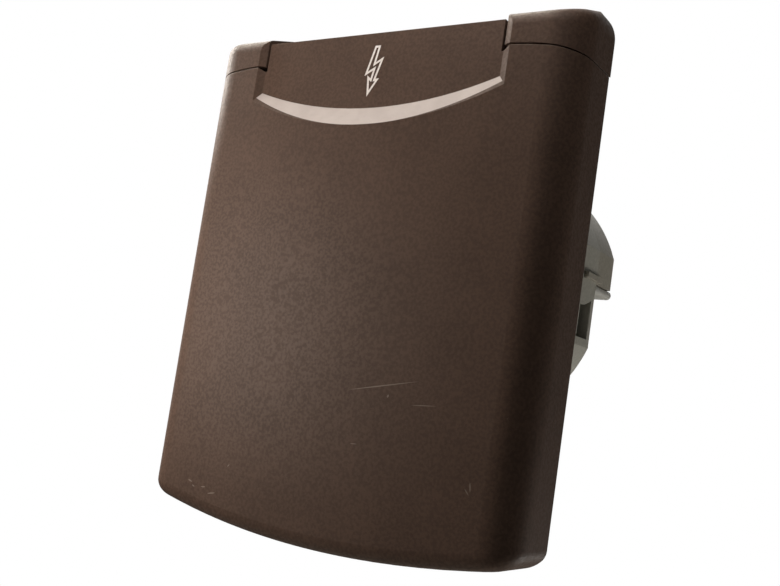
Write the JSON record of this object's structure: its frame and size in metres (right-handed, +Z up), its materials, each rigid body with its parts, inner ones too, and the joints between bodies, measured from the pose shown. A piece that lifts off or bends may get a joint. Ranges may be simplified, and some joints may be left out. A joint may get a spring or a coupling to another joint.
{
  "type": "outdoor weatherproof socket",
  "caption": "Flush-mounted outdoor mains socket: a softly rounded, hinged weather lid over a round plug well, with a drum housing that passes through the wall.",
  "frame": {"origin": "centre of the wall screws' pattern in the wall's surface, on the axis of the round housing", "axes": "+X to the right seen from the front, +Y into the wall, +Z up"},
  "size_m": [0.13, 0.1001, 0.161],
  "materials": {
    "lid": "satin, fine grain, dark brown, with a pale sloping border above",
    "lid_seal": "matt black",
    "hinge_pin": "plain",
    "lid_spring": "bright wire",
    "mounting_frame": "satin, fine grain, dark brown",
    "wall_gasket": "foam, matt",
    "back_box": "satin grey",
    "terminal_cover": "satin grey",
    "cable_clamp": "satin grey",
    "clamp_screws": "zinc plated",
    "cable_grommet": "matt black",
    "box_screws": "zinc plated",
    "socket_insert": "satin dark",
    "contact_block": "matt pale",
    "block_screws": "zinc plated",
    "live_contact": "plain",
    "neutral_contact": "plain",
    "earth_contact": "plain strip",
    "live_screw": "zinc plated",
    "neutral_screw": "zinc plated",
    "earth_screw": "zinc plated"
  },
  "bodies": {
    "frame": {"lid_spring": "lid_spring", "mounting_frame": "mounting_frame", "wall_gasket": "wall_gasket", "back_box": "back_box", "terminal_cover": "terminal_cover", "cable_clamp": "cable_clamp", "clamp_screws": "clamp_screws", "cable_grommet": "cable_grommet", "box_screws": "box_screws", "socket_insert": "socket_insert", "contact_block": "contact_block", "block_screws": "block_screws", "live_contact": "live_contact", "neutral_contact": "neutral_contact", "earth_contact": "earth_contact", "live_screw": "live_screw", "neutral_screw": "neutral_screw", "earth_screw": "earth_screw"},
    "lid": {"lid": "lid", "lid_seal": "lid_seal", "hinge_pin": "hinge_pin"}
  },
  "joints": [
    {"name": "lid_joint", "type": "hinge", "parent": "frame", "child": "lid", "pos_m": [0, -0.0184, 0.0599], "axis": [-1, 0, 0], "range_deg": [0, 80], "deforming": ["lid_spring"]}
  ]
}
